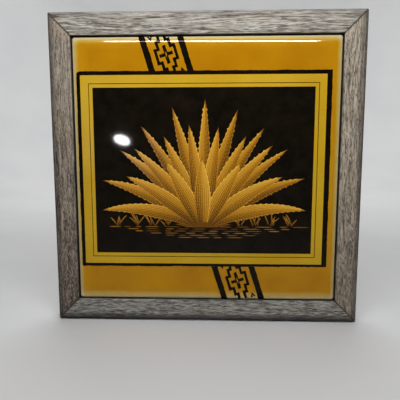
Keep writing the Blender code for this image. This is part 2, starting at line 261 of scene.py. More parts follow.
class Wiring:
    """Short calls that add nodes to a tree and wire them together."""

    def __init__(self, tree):
        self.tree = tree

    def node(self, kind, inputs, **settings):
        """A node with these settings, its inputs linked to outputs or set to plain values."""
        made = self.tree.nodes.new(kind)
        for setting, value in settings.items():
            setattr(made, setting, value)
        for socket, source in inputs.items():
            self.feed(source, made.inputs[socket])
        return made

    def feed(self, source, socket):
        """Links an output to an input, or sets the input to a plain value."""
        if isinstance(source, bpy.types.NodeSocket):
            self.tree.links.new(source, socket)
        else:
            socket.default_value = source

    def place(self, space="Object"):
        """Where a point lies in the part, in metres, or in another space."""
        return self.node("ShaderNodeTexCoord", {}).outputs[space]

    def along(self, axis, space="Object"):
        """Where a point lies along one axis of that space."""
        return self.node("ShaderNodeSeparateXYZ", {"Vector": self.place(space)}).outputs[axis]

    def level(self, factor, low, high, start=0.0, end=1.0):
        """The factor's span from low to high, mapped to start and end."""
        spans = {"Value": factor, "From Min": low, "From Max": high, "To Min": start, "To Max": end}
        return self.node("ShaderNodeMapRange", spans).outputs["Result"]

    def ramp(self, factor, *stops):
        """Colours at places from 0 to 1, as (place, colour) pairs in order."""
        made = self.node("ShaderNodeValToRGB", {"Fac": factor})
        bands = made.color_ramp.elements
        while len(bands) < len(stops):
            bands.new(0.5)
        for band, (place, colour) in zip(bands, stops):
            band.position = place
            band.color = colour
        return made.outputs["Color"]


class Look(Wiring):
    """A procedural material: a Principled shader, and patterns to wire into it."""

    def __init__(self, name, **values):
        self.material = bpy.data.materials.new(name)
        self.material.use_nodes = True
        super().__init__(self.material.node_tree)
        self.shader = self.tree.nodes["Principled BSDF"]
        for socket, value in values.items():
            title = socket.replace("_", " ").title().replace("Ior", "IOR")
            self.shader.inputs[title].default_value = value

    def shade(self, socket, source):
        self.feed(source, self.shader.inputs[socket])

    def noise(self, size, detail=3.0, roughness=0.55, warp=0.0, turn=0.0):
        """Noise of this size in millimetres, or of these sizes along x, y and z, turned about y."""
        spans = (np.broadcast_to(size, 3) * MM).tolist()
        layout = {"Vector": self.place(), "Scale": spans, "Rotation": (0, math.radians(turn), 0)}
        laid = self.node("ShaderNodeMapping", layout, vector_type="TEXTURE").outputs["Vector"]
        pattern = {"Vector": laid, "Scale": 1.0, "Detail": detail, "Roughness": roughness}
        return self.node("ShaderNodeTexNoise", {**pattern, "Distortion": warp}).outputs["Fac"]

    def screen(self, pitch):
        """The dents of a woven screen, this many millimetres apart along x and z, from 0 to 1."""
        pattern = {"Vector": self.place(), "Scale": WAVE_SPAN / (pitch * MM), "Distortion": 0.4}
        waves = [self.node("ShaderNodeTexWave", pattern, bands_direction=axis) for axis in "XZ"]
        return self.join("MULTIPLY", *(wave.outputs["Fac"] for wave in waves))

    def attribute(self, name):
        return self.node("ShaderNodeAttribute", {}, attribute_name=name).outputs["Fac"]

    def join(self, operation, first, second):
        return self.node("ShaderNodeMath", {0: first, 1: second}, operation=operation).outputs[0]

    def mix(self, factor, first, second, blend="MIX"):
        inputs = {0: factor, MIX_FIRST: first, MIX_SECOND: second}
        return self.node("ShaderNodeMix", inputs, data_type="RGBA", blend_type=blend).outputs[MIX_RESULT]

    def relief(self, height, distance, strength=1.0):
        """Fine bump, this many millimetres deep."""
        bump = {"Height": height, "Distance": distance * MM, "Strength": strength}
        self.shade("Normal", self.node("ShaderNodeBump", bump).outputs["Normal"])


# Materials


def wood_look(name, rail):
    """Weathered oak, its grain along the rail. Tone, pores and the painted shade on lip and shoulders come
    from the mesh.
    """
    look = Look(name, specular_IOR_level=0.25)
    pale, mid, dark = (paint(*rail[shade]) for shade in ("pale", "mid", "dark"))
    colour = {mark: paint(*shade) for mark, shade in GRAIN_COLOURS.items()}

    def along_grain(size, **noise):
        long, wide = size
        return look.noise((wide, wide, long) if rail["outward"][0] else (long, wide, wide), **noise)

    fibre = along_grain(GRAIN_SIZES["fibre"], detail=5, roughness=0.65)
    vessel = along_grain(GRAIN_SIZES["vessel"], detail=3, roughness=0.6, warp=0.3)
    speck = along_grain(rail["speck_size"], detail=2, roughness=0.6)
    ray = along_grain(GRAIN_SIZES["ray"], detail=1, turn=rail["ray_slant"])
    flock = along_grain(GRAIN_SIZES["flock"], detail=2)
    cloud = along_grain(GRAIN_SIZES["cloud"], detail=2)
    body = look.ramp(look.attribute("tone"), *zip(TONE_STOPS, (dark, mid, pale)))
    streaked = look.mix(look.level(fibre, 0.35, 0.7, 0.0, 0.5), body, colour["fibre"])
    tinted = look.mix(1.0, streaked, look.ramp(cloud, (0.3, WARM_TINT), (0.7, COOL_TINT)), "MULTIPLY")
    opened = look.mix(look.level(vessel, 0.52, 0.64, 0.0, rail["vessel_share"]), tinted, colour["vessel"])
    bleached = look.mix(look.level(vessel, 0.46, 0.32, 0.0, 0.5), opened, pale)
    raised = look.mix(look.level(speck, 0.45, 0.37, 0.0, rail["crest_share"]), bleached, pale)
    peppered = look.mix(look.level(speck, 0.56, 0.64, 0.0, rail["speck_share"]), raised, colour["speck"])
    rays = look.level(ray, rail["ray_start"], rail["ray_start"] + RAY_RISE, 0.0, 0.75)
    flecked = look.mix(look.join("MULTIPLY", rays, look.level(flock, 0.42, 0.6)), peppered, pale)
    pitted = look.mix(look.attribute("pore"), flecked, colour["pore"])
    # Painted shade on the lip and the shoulder's turn, read from the mesh
    look.shade("Base Color", look.mix(look.attribute("darkening"), pitted, colour["darkening"]))
    look.shade("Roughness", look.level(fibre, 0.3, 0.7, 0.62, 0.9))
    look.relief(look.level(vessel, 0.52, 0.68, 1.0, 0.0), 0.15, 0.7)
    return look.material


def glaze_look():
    """Amber glaze that lies thin near the edges, breaks to cream there with a painted reflection on the
    rim mixed in, and ends above bare clay.
    """
    look = Look("amber_glaze")
    drift = look.noise(38, detail=2)
    speck = look.noise(2.2, detail=4, roughness=0.7)
    amber = look.ramp(drift, (0.3, paint(155, 102, 4)), (0.7, paint(169, 118, 10)))
    speckled = look.mix(look.level(speck, 0.55, 0.75, 0.0, 0.25), amber, paint(138, 80, 2))
    across = look.along("X")
    height = look.along("Z")

    def near(place, edge, reach, strength=1.0):
        """This strong at an edge, and nothing where a point lies this far in from it."""
        return look.level(place, edge, edge + reach * MM, strength, 0.0)

    def near_side(edge, reach):
        """Full at a side edge, and nothing this far in from it, or sooner toward the foot."""
        ends = (edge + reach * MM, edge + reach * MM / (1 + LOW_SIDE_NARROWING))
        return look.level(across, edge, look.level(height, TILE_MIDDLE.z, TILE_LOW.z, *ends), 1.0, 0.0)

    left = near_side(TILE_LOW.x, BREAK_AND_SHEEN_REACH["left"])
    right = near_side(TILE_HIGH.x, -BREAK_AND_SHEEN_REACH["right"])
    head = near(height, TILE_HIGH.z, -BREAK_AND_SHEEN_REACH["head"])
    foot = near(height, TILE_LOW.z, BREAK_AND_SHEEN_REACH["foot"])
    side = look.join("ADD", left, right)
    end = look.join("ADD", head, foot)
    squares = look.join("ADD", look.join("MULTIPLY", side, side), look.join("MULTIPLY", end, end))
    wander = look.level(look.noise(7, detail=3), 0.25, 0.75, BREAK_AND_SHEEN_WANDER, -BREAK_AND_SHEEN_WANDER)
    share = look.level(look.join("ADD", look.join("POWER", squares, 0.5), wander), 1.0, 0.0)
    # Cream rim: the glaze's break and a painted reflection on the rounded edge together
    broken = look.ramp(share, *((place, paint(*colour)) for place, colour in BREAK_AND_SHEEN_COLOURS.items()))
    thin_left = near(across, TILE_LOW.x, SIDE_THIN_REACH)
    thin_right = near(across, TILE_HIGH.x, -SIDE_THIN_REACH, 0.7)
    thin_head = near(height, TILE_HIGH.z, -HEAD_THIN_REACH, 0.9)
    thin = look.join("MAXIMUM", look.join("ADD", thin_left, thin_right), thin_head)
    thinned = look.mix(thin, speckled, THIN_TINT, "MULTIPLY")
    yellowed = look.mix(look.level(height, TILE_HIGH.z, TILE_LOW.z), thinned, LOW_TINT, "MULTIPLY")
    glazed = look.mix(look.level(share, 0.6, 0.93), broken, yellowed)
    bare = look.level(look.along("Y"), *(TILE_FACE + drop * MM for drop in GLAZE_LINE))
    look.shade("Base Color", look.mix(bare, glazed, paint(206, 190, 164)))
    look.shade("Roughness", look.level(bare, 0.0, 1.0, 0.06, 0.9))
    look.shade("Specular IOR Level", look.level(share, 0.67, 0.9, RIM_GLOSS, GLOSS))
    look.relief(look.noise(14, detail=1), 0.02, 0.35)
    return look.material


def ink_look(name, deep, pale, gloss=INK_GLOSS):
    """Printed ink under the gloss, slightly uneven."""
    look = Look(name, roughness=0.04, specular_IOR_level=gloss)
    body = look.noise(9, detail=4, roughness=0.65)
    look.shade("Base Color", look.ramp(body, (0.35, deep), (0.75, pale)))
    look.relief(look.noise(12, detail=1), 0.015, 0.3)
    return look.material


def foil_look():
    """Gold foil print with a soft brushed drift."""
    look = Look("gold_foil", specular_IOR_level=GLOSS)
    drift = look.noise(45, detail=2)
    brush = look.noise((26, 1, 0.35), detail=3, roughness=0.6)
    body = look.ramp(drift, (0.3, paint(178, 140, 20)), (0.7, paint(188, 152, 32)))
    look.shade("Base Color", look.mix(look.level(brush, 0.45, 0.75, 0.0, 0.16), body, paint(156, 114, 10)))
    look.shade("Roughness", look.level(brush, 0.3, 0.7, 0.2, 0.34))
    return look.material


def engraving_look():
    """Printed gold, from dark brown line-work to pale lights, by the mesh's tone."""
    look = Look("engraved_gold", roughness=0.2, specular_IOR_level=GLOSS)
    speck = look.noise(0.9, detail=4, roughness=0.7)
    gold = look.ramp(
        look.attribute("tone"),
        (0.0, paint(34, 21, 8)),
        (0.3, paint(108, 68, 14)),
        (0.62, paint(182, 126, 28)),
        (1.0, paint(220, 172, 66)),
    )
    look.shade("Base Color", look.mix(look.level(speck, 0.5, 0.75, 0.0, 0.5), gold, paint(70, 44, 12)))
    return look.material


def board_look():
    """Hardboard: pressed brown fibre, with the mark of the press screen."""
    look = Look("hardboard", specular_IOR_level=0.3)
    fibre = look.noise((1.3, 1.3, 3.2), detail=6, roughness=0.7, warp=0.6)
    darkening = look.noise(60, detail=3)
    browns = (paint(104, 74, 51), paint(134, 97, 67), paint(160, 122, 87))
    body = look.ramp(fibre, *zip((0.3, 0.5, 0.75), browns))
    dimming = look.ramp(darkening, (0.35, (0.86, 0.84, 0.82, 1)), (0.65, (1.04, 1.03, 1.0, 1)))
    aged = look.mix(1.0, body, dimming, "MULTIPLY")
    screen = look.screen(1.5)
    look.shade("Base Color", look.mix(look.level(screen, 0.35, 0.0, 0.0, 0.35), aged, paint(84, 58, 39)))
    look.shade("Roughness", look.level(fibre, 0.3, 0.7, 0.6, 0.85))
    look.relief(screen, 0.25, 0.8)
    return look.material


def metal_look(name, bright, dull, tarnish):
    """Plated metal with a fine drawn grain, dulled in patches."""
    look = Look(name, metallic=0.95)
    patch = look.noise(4.5, detail=4, roughness=0.5)
    drawn = look.noise((6, 0.15, 0.15), detail=3)
    body = look.ramp(patch, (0.25, tarnish), (0.42, dull), (0.6, bright))
    look.shade("Base Color", look.mix(look.level(drawn, 0.5, 0.7, 0.0, 0.3), body, tarnish))
    look.shade("Roughness", look.level(patch, 0.3, 0.7, 0.46, 0.3))
    look.relief(drawn, 0.02, 0.5)
    return look.material


def adhesive_look():
    look = Look("adhesive", roughness=0.5)
    lump = look.noise(4, detail=3)
    look.shade("Base Color", look.ramp(lump, (0.3, paint(206, 192, 160)), (0.7, paint(232, 222, 198))))
    look.relief(lump, 0.1, 0.5)
    return look.material


# Shared by the sections below


def arc(centre, radius, start, end, steps):
    angles = np.radians(np.linspace(start, end, steps + 1))
    return [(centre[0] + radius * math.cos(a), centre[1] + radius * math.sin(a)) for a in angles]


def run(start, end, step):
    """Evenly spaced points from start up to, and without, end."""
    gap = math.dist(start, end)
    count = max(1, round(gap / step))
    return [tuple(np.add(start, np.subtract(end, start) * i / count)) for i in range(count)]


def value_noise(rng, across, along, cell_across, cell_along):
    """Smooth random values from 0 to 1 over points in millimetres, in cells of that size."""
    i = (across - across.min()) / cell_across
    j = (along - along.min()) / cell_along
    table = rng.random((int(i.max()) + 3, int(j.max()) + 3))
    low_i = i.astype(int)
    low_j = j.astype(int)
    ease_i = (i - low_i) ** 2 * (3 - 2 * (i - low_i))
    ease_j = (j - low_j) ** 2 * (3 - 2 * (j - low_j))
    near = table[low_i, low_j] * (1 - ease_i) + table[low_i + 1, low_j] * ease_i
    far = table[low_i, low_j + 1] * (1 - ease_i) + table[low_i + 1, low_j + 1] * ease_i
    return near * (1 - ease_j) + far * ease_j


def new_mesh(name, verts=(), faces=()):
    mesh = bpy.data.meshes.new(name)
    mesh.from_pydata(verts, [], faces)
    return mesh


def add_object(name, data):
    """A new object, put in the scene."""
    thing = bpy.data.objects.new(name, data)
    bpy.context.scene.collection.objects.link(thing)
    return thing


def add_piece(name, mesh, look, smooth=True):
    """A finished mesh as a piece that rides on the plaque."""
    piece = add_object(name, mesh)
    mesh.materials.clear()
    mesh.materials.append(look)
    if smooth:
        mesh.shade_smooth()
    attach(piece, "root")
    return piece


def finished(bm, mesh):
    """The mesh, filled from a bmesh with its faces outward."""
    bmesh.ops.recalc_face_normals(bm, faces=bm.faces)
    bm.to_mesh(mesh)
    bm.free()
    return mesh


def tidy_normals(mesh):
    bm = bmesh.new()
    bm.from_mesh(mesh)
    finished(bm, mesh)


def store(mesh, name, values):
    data = mesh.attributes.new(name, "FLOAT", "POINT").data
    data.foreach_set("value", np.asarray(values, np.float32).ravel())


# Frame


def moulding_section(width, depth):
    """The section, outward from the sight edge against depth, and how rough each point is."""
    ease = ARRIS_RADIUS
    shoulder = (width - SHOULDER_RADIUS, SHOULDER_RADIUS)
    runs = [
        (run((0, LIP_DEPTH), (0, ease), 1.6), 0.3),
        (arc((ease, ease), ease, 180, 270, 3), 0.6),
        (run((ease, 0), (width - SHOULDER_RADIUS, 0), 0.36)[1:], 1.0),
        (arc(shoulder, SHOULDER_RADIUS, -90, 0, 30), 1.0),
        (run((width, SHOULDER_RADIUS), (width, depth - ease), 0.9)[1:], 1.0),
        (arc((width - ease, depth - ease), ease, 0, 90, 3), 0.7),
        (run((width - ease, depth), (RABBET_WIDTH, depth), 1.5)[1:], 0.4),
        (run((RABBET_WIDTH, depth), (RABBET_WIDTH, LIP_DEPTH), 3.0), 0.0),
        (run((RABBET_WIDTH, LIP_DEPTH), (0, LIP_DEPTH), 3.0), 0.0),
    ]
    points = [point for group, _ in runs for point in group]
    rough = [weight for group, weight in runs for _ in group]
    return np.array(points), np.array(rough)


def outward_normals(points):
    """Unit normals of a closed section listed anticlockwise about its middle."""
    step = np.roll(points, -1, 0) - np.roll(points, 1, 0)
    normal = np.stack([step[:, 1], -step[:, 0]], 1)
    return normal / np.linalg.norm(normal, axis=1, keepdims=True)


def dashes(rng, across, along, count, half_length, half_width):
    """Boat-shaped marks laid along the grain, from 0 to 1."""
    depth = np.zeros_like(across)
    for _ in range(count):
        far = along - rng.uniform(along.min(), along.max())
        side = across - rng.uniform(across.min(), across.max())
        long = rng.uniform(*half_length)
        wide = rng.uniform(*half_width)
        reach = 1 - (far / long) ** 2 - (side / wide) ** 2
        depth = np.maximum(depth, np.clip(reach, 0, 1) * rng.uniform(0.45, 1))
    return depth


def wood_fields(rng, across, along, rail):
    """Tone, pores, chips and relief of the wood over its unrolled surface, in millimetres."""
    streak_length = rail["streak_length"]
    broad_share = rail["broad_share"]
    bend = BEND * value_noise(rng, across, along, *BEND_CELLS)
    grain = across + (bend + WANDER * value_noise(rng, across, along, *WANDER_CELLS))
    broad = value_noise(rng, grain, along, *BROAD_CELLS)
    streak = value_noise(rng, grain, along, STREAK_CELL, streak_length)
    fibre = value_noise(rng, grain, along, FIBRE_CELL, streak_length / 2)
    rings = 0.5 + 0.5 * np.sin(2 * math.pi * grain / RING_PITCH)
    tone = broad_share * broad + RING_SHARE * rings + STREAK_SHARE * streak
    tone += (PLAIN_SHARE - broad_share) * fibre
    tone -= SHAKE_TONE * dashes(rng, grain, along, *SHAKES)
    pores = dashes(rng, grain, along, *PORES)
    pores *= 0.35 + 0.65 * (1 - rings)
    chips = dashes(rng, across, along, *CHIPS)
    swell = value_noise(rng, across, along, *SWELL_CELLS) - 0.5
    relief = SWELL_HEIGHT * swell - STREAK_DEPTH * (1 - streak) - PORE_DEPTH * pores
    return tone, pores, chips, relief


def painted_shade_shares(section, width, depth, shoulder_painted_shade):
    """How dark the painted shade lies on each point of the section: on the lip facing the tile, and on the
    shoulder's turn.
    """
    out = section[:, :1]
    deep = section[:, 1:]
    lip = (out < ARRIS_RADIUS / 2) * np.clip(deep / LIP_FADE, 0, 1)
    behind = np.clip((deep - depth + 2 * ARRIS_RADIUS) / ARRIS_RADIUS, 0, 1)
    turned = np.clip((out - width + SHOULDER_RADIUS) / SHOULDER_RADIUS, 0, 1) ** 0.6
    side = np.clip((deep - 0.6 * SHOULDER_RADIUS) / SIDE_FADE, 0, 1) * (out > width / 2)
    dimming = turned * (1 - SIDE_SHADE_EASE * side) * (1 - BACK_SHADE_EASE * behind)
    return np.maximum(shoulder_painted_shade * dimming, LIP_PAINTED_SHADE * lip)


def rail_mesh(name, width, depth, length, rail, seed):
    """One moulding with its mitred ends, in millimetres: x along it, y deep, z outward."""
    rng = np.random.default_rng(seed)
    section, rough = moulding_section(width, depth - BACK_PLANED)
    rough = rough[:, None]
    normal = outward_normals(section)
    half = length / 2 - MITRE_SETBACK
    inner = np.linspace(-1, 1, round(length / GRAIN_STEP) + 1)
    ends = np.array(MITRE_STEPS) / half
    shares = np.unique(np.concatenate([inner, 1 - ends, ends - 1]))
    rolled = np.concatenate([[0], np.cumsum(np.linalg.norm(np.diff(section, axis=0), axis=1))])
    across, share = np.meshgrid(rolled, shares, indexing="ij")
    reach = half + section[:, :1]
    tone, pores, chips, relief = wood_fields(rng, across, share * reach, rail)
    mitre = np.exp(-(1 - np.abs(share)) * reach / MITRE_FADE)
    outer = np.clip((section[:, 1:] - CHIP_START) / CHIP_FADE, 0, 1) * (section[:, :1] > width / 2)
    chips *= outer * (rough >= CHIPPED_ROUGHNESS)
    relief = rough * relief - CHIP_DEPTH * chips - MITRE_DEPTH * mitre * (rough >= OPENED_ROUGHNESS)
    moved = section[:, None, :] + normal[:, None, :] * relief[:, :, None]
    along = share * (half + moved[:, :, 0])
    rows, columns = across.shape
    verts = np.stack([along, moved[:, :, 1], moved[:, :, 0]], -1).reshape(-1, 3)
    index = np.arange(rows * columns).reshape(rows, columns)
    nearer = index[:, :-1]
    quads = np.stack([nearer, np.roll(nearer, -1, 0), np.roll(index[:, 1:], -1, 0), index[:, 1:]], -1)
    faces = quads.reshape(-1, 4).tolist() + [index[:, 0].tolist(), index[:, -1].tolist()]
    mesh = new_mesh(name, verts.tolist(), faces)
    spread = np.interp(share, (-1, 1), rail["tone_spread"])
    # The stiles' tone falls toward the foot, a painted shade
    store(mesh, "tone", 0.5 + spread * (tone - 0.5) + rail["painted_falloff"] * share)
    pore = PORE_SHADE * pores + CHIP_SHADE * chips + MITRE_SHADE * mitre
    store(mesh, "pore", np.clip(pore, 0, DARKEST_PORE))
    # Painted shade on the lip in the gap by the tile and on the shoulder's turn
    darkening = painted_shade_shares(section, width, depth, rail["shoulder_painted_shade"])
    store(mesh, "darkening", darkening * np.ones_like(share))
    return mesh


def stand_rail(mesh, outward, middle, opening, front):
    """Turns a moulding to its side of the opening and sets it in place, in metres."""
    side_x, side_z = outward
    verts = np.zeros(len(mesh.vertices) * 3)
    mesh.vertices.foreach_get("co", verts)
    along, deep, out = verts.reshape(-1, 3).T * MM
    half = (opening[0] if side_x else opening[1]) / 2
    x = middle[0] + side_x * (half + out) + abs(side_z) * along
    z = middle[1] + side_z * (half + out) + abs(side_x) * along
    mesh.vertices.foreach_set("co", np.stack([x, front + deep, z], 1).ravel())
    mesh.update()
    tidy_normals(mesh)


def build_frame():
    boxes = {name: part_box(name) for name in RAILS}
    left = boxes["left_stile"][1].x
    right = boxes["right_stile"][0].x
    top = boxes["top_rail"][0].z
    bottom = boxes["bottom_rail"][1].z
    front = boxes["top_rail"][0].y
    middle = ((left + right) / 2, (top + bottom) / 2)
    opening = (right - left, top - bottom)
    width = (boxes["top_rail"][1].z - top) / MM
    depth = (boxes["top_rail"][1].y - front) / MM
    for seed, (name, rail) in enumerate(RAILS.items(), start=FRAME_SEED):
        outward = rail["outward"]
        length = (opening[1] if outward[0] else opening[0]) / MM
        mesh = rail_mesh(f"{name}_wood", width, depth, length, rail, seed)
        stand_rail(mesh, outward, middle, opening, front)
        piece = add_piece(f"{name}_wood", mesh, wood_look(f"{name}_oak", rail))
        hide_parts(name)


# Tile


TILE_LOW, TILE_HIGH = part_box("ceramic_tile")
TILE_MIDDLE = (TILE_LOW + TILE_HIGH) / 2
TILE_SIZE = (TILE_HIGH - TILE_LOW) / MM
TILE_FACE = TILE_LOW.y


def tile_point(x, z, lift):
    """A point of the tile's face from its place in millimetres, lifted off the clay by that much."""
    return Vector((TILE_MIDDLE.x + x * MM, TILE_FACE - lift * MM, TILE_MIDDLE.z + z * MM))


def cushion_drop(inset):
    """How far the face has fallen where it is this far in from the tile's edge."""
    share = min(max(inset / CUSHION_WIDTH, 0.0), 1.0)
    return CUSHION_DROP * (1 - math.sqrt(1 - (1 - share) ** 2))


def rounded_rectangle(width, height, radius, steps):
    points = []
    for turn, (sign_x, sign_z) in enumerate([(1, 1), (-1, 1), (-1, -1), (1, -1)]):
        centre = (sign_x * (width / 2 - radius), sign_z * (height / 2 - radius))
        points += arc(centre, radius, 90 * turn, 90 * turn + 90, steps)
    return points


def tile_rings():
    """(inset, lift) from the tile's back, up its side and over its cushioned edge to the face."""
    rings = [(0.0, -TILE_SIZE.y), (0.0, -CUSHION_DROP - GLAZE_SKIRT)]
    for step in range(CUSHION_STEPS + 1):
        inset = CUSHION_WIDTH * (1 - math.cos(math.pi / 2 * step / CUSHION_STEPS))
        rings.append((inset, -cushion_drop(inset)))
    return rings + [(inset, 0.0) for inset in FACE_RINGS]


def groove_cutters():
    """Blocks for the shallow grooves that grip the adhesive, on the tile's back."""
    bm = bmesh.new()
    pitch = TILE_SIZE.x / GROOVE_COUNT
    for number in range(GROOVE_COUNT):
        block = bmesh.ops.create_cube(bm, size=1)["verts"]
        for vert in block:
            x = (number - (GROOVE_COUNT - 1) / 2) * pitch + vert.co.x * GROOVE_WIDTH
            z = vert.co.z * (TILE_SIZE.z + CUSHION_WIDTH)
            vert.co = tile_point(x, z, 2 * GROOVE_DEPTH * vert.co.y - TILE_SIZE.y)
    return finished(bm, new_mesh("groove_cutters"))


def carve(mesh, cutters):
    """The mesh less the cutters, as a new mesh."""
    body = add_object("body", mesh)
    tool = add_object("tool", cutters)
    difference = body.modifiers.new("carve", "BOOLEAN")
    difference.operation = "DIFFERENCE"
    difference.object = tool
    depsgraph = bpy.context.evaluated_depsgraph_get()
    carved = bpy.data.meshes.new_from_object(body.evaluated_get(depsgraph))
    for thing in (body, tool):
        bpy.data.objects.remove(thing)
    return carved


def build_tile():
    """The tile with its face and cushioned edge smooth under the glaze, and its back grooved."""
    bm = bmesh.new()
    loops = []
    for inset, lift in tile_rings():
        radius = RIM_RADIUS + (FACE_RADIUS - RIM_RADIUS) * inset / CUSHION_WIDTH
        outline = rounded_rectangle(TILE_SIZE.x - 2 * inset, TILE_SIZE.z - 2 * inset, radius, CORNER_STEPS)
        loops.append([bm.verts.new(tile_point(x, z, lift)) for x, z in outline])
    for lower, upper in zip(loops, loops[1:]):
        for i in range(len(lower)):
            j = (i + 1) % len(lower)
            bm.faces.new((lower[i], lower[j], upper[j], upper[i]))
    bm.faces.new(loops[0])
    bm.faces.new(loops[-1])
    carved = carve(finished(bm, new_mesh("glazed_tile")), groove_cutters())
    piece = add_piece("glazed_tile", carved, glaze_look())
    piece.data.set_sharp_from_angle(angle=math.radians(TILE_SHARP_ANGLE))
    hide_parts("ceramic_tile")


# Printing


def ragged(outline, rng, step, amount, swell):
    """The outline in short steps, its edge wandering finely by amount and slowly by swell."""
    points = []
    for start, end in zip(outline, outline[1:] + outline[:1]):
        points += run(start, end, step)
    wander = amount * soften(rng.normal(size=(len(points), 2)), 1)
    wander += swell * soften(rng.normal(size=(len(points), 2)), 5)
    return [tuple(point) for point in np.array(points) + wander]


def soften(values, reach):
    """Random values round a loop, averaged over this many neighbours each way, at their old spread."""
    total = sum(np.roll(values, shift, 0) for shift in range(-reach, reach + 1))
    return total / math.sqrt(2 * reach + 1)


def fill_outlines(bm, outlines, place):
    """Fills an outline less its holes. Each of their points is put in the mesh by the function place."""
    edges = []
    for outline in outlines:
        verts = [bm.verts.new(place(x, z)) for x, z in outline]
        edges += [bm.edges.new((a, b)) for a, b in zip(verts, verts[1:] + verts[:1])]
    bmesh.ops.triangle_fill(bm, use_beauty=True, use_dissolve=False, edges=edges)


def thickened(bm, name, thickness):
    """A filled sheet as a closed mesh, this many millimetres thick toward the front."""
    front = bmesh.ops.extrude_face_region(bm, geom=bm.faces[:], use_keep_orig=True)
    for vert in (part for part in front["geom"] if isinstance(part, bmesh.types.BMVert)):
        vert.co.y -= thickness * MM
    return finished(bm, new_mesh(name))


def printed_mesh(name, shapes, thickness, clip=None):
    """Thin closed prints over the face. A shape is an outline and its holes; clip is a z range."""
    bm = bmesh.new()
    for outlines in shapes:
        fill_outlines(bm, outlines, lambda x, z: (x, 0, z))
    if clip is not None:
        for height, facing in zip(clip, (-1, 1)):
            cut_level(bm, height, facing)
    rim = TILE_SIZE.z / 2
    for step in range(CUSHION_STEPS):
        height = rim - CUSHION_WIDTH * (1 - math.cos(math.pi / 2 * (step + 0.5) / CUSHION_STEPS))
        cut_level(bm, height)
        cut_level(bm, -height)
    for vert in bm.verts:
        x, _, z = vert.co
        vert.co = tile_point(x, z, -cushion_drop(rim - abs(z)))
    return thickened(bm, name, thickness)


def cut_level(bm, height, facing=None):
    """Cuts the flat print at a height, and drops what lies beyond it if facing is given."""
    everything = bm.verts[:] + bm.edges[:] + bm.faces[:]
    plane = {"plane_co": (0, 0, height), "plane_no": (0, 0, facing or 1)}
    bmesh.ops.bisect_plane(bm, geom=everything, clear_outer=facing is not None, **plane)


def band_point(motif, across, down):
    """A point of the leaning band, across and down it from a motif's middle."""
    x = motif[0] + across * math.cos(BAND_LEAN) + down * math.sin(BAND_LEAN)
    z = motif[1] + across * math.sin(BAND_LEAN) - down * math.cos(BAND_LEAN)
    return (x, z)


def stepped_side(sign):
    """One side of the stepped lozenge, a stroke that runs on past both of its ends."""
    stroke = LOZENGE_HALF_STROKE

    def steps(grow):
        last = 0.0
        for half_width, reach in LOZENGE_STEPS:
            yield (half_width + grow, last)
            yield (half_width + grow, reach + grow)
            last = reach + grow

    outer = list(steps(stroke))
    inner = list(steps(-stroke))
    outer[-1] = (outer[-1][0], LOZENGE_STEPS[-1][1])
    inner[-1] = (inner[-1][0], LOZENGE_STEPS[-1][1])
    lower = outer[1:] + inner[:0:-1]
    upper = [(across, -down) for across, down in reversed(lower)]
    return [(sign * across, down) for across, down in lower + upper]


def cross_shape():
    """A cross with a slit at its heart."""
    stroke = CROSS_HALF_STROKE
    quarter = [(stroke, CROSS_LONG), (stroke, stroke), (CROSS_SHORT, stroke)]
    flip = [(across, -down) for across, down in reversed(quarter)]
    right = quarter + flip
    left = [(-across, -down) for across, down in right]
    slit = [(0, SLIT_HALF_LENGTH), (SLIT_HALF_WIDTH, 0), (0, -SLIT_HALF_LENGTH), (-SLIT_HALF_WIDTH, 0)]
    return right + left, slit


def barb_shape(sign):
    """A small open arrowhead beside the lozenge's end."""
    across, down = BARB_PLACE
    foot = down + BARB_HEIGHT
    inner = BARB_HALF_WIDTH * BARB_NOTCH_WIDTH
    points = [
        (across, down),
        (across + BARB_HALF_WIDTH, foot),
        (across + inner, foot),
        (across, down + BARB_HEIGHT * BARB_NOTCH_TOP),
        (across - inner, foot),
        (across - BARB_HALF_WIDTH, foot),
    ]
    return [(sign * x, sign * y) for x, y in points]


def motif_shapes(motif, rng):
    """Every ink shape of the band about one motif, in the tile's millimetres."""
    far = LOZENGE_STEPS[-1][1] + STRIPE_RUN
    flat = [[[(low, -far), (high, -far), (high, far), (low, far)]] for low, high in STRIPES]
    flat += [[stepped_side(sign)] for sign in (-1, 1)]
    flat += [[barb_shape(sign)] for sign in (-1, 1)]
    flat.append(list(cross_shape()))
    shapes = []
    for outlines in flat:
        laid = [[band_point(motif, *point) for point in outline] for outline in outlines]
        shapes.append([ragged(outline, rng, *BAND_EDGE) for outline in laid])
    return shapes


def build_border(ink):
    rng = np.random.default_rng(BORDER_SEED)
    bend, bend_rise = FOOT_BEND
    chamfer, chamfer_rise = FOOT_CHAMFER
    outer = [
        *arc((BORDER_LEFT + BORDER_CORNER, BORDER_TOP - BORDER_CORNER), BORDER_CORNER, 180, 90, 4),
        (BORDER_RIGHT, BORDER_TOP),
        (BORDER_RIGHT, BORDER_BOTTOM + FOOT_RISE),
        (BORDER_RIGHT - bend, BORDER_BOTTOM + bend_rise),
        (BORDER_LEFT + chamfer, BORDER_BOTTOM),
        (BORDER_LEFT, BORDER_BOTTOM + chamfer_rise),
    ]
    low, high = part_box("picture_panel")
    left = (low.x - TILE_MIDDLE.x) / MM + BORDER_UNDERLAP
    right = (high.x - TILE_MIDDLE.x) / MM - BORDER_UNDERLAP
    bottom = (low.z - TILE_MIDDLE.z) / MM + BORDER_UNDERLAP
    top = (high.z - TILE_MIDDLE.z) / MM - BORDER_UNDERLAP
    hole = [(left, bottom), (right, bottom), (right, top), (left, top)]
    shapes = [[ragged(outer, rng, *BORDER_EDGE), hole]]
    mesh = printed_mesh("border_print", shapes, INK_THICKNESS)
    add_piece("border_print", mesh, ink, smooth=False)


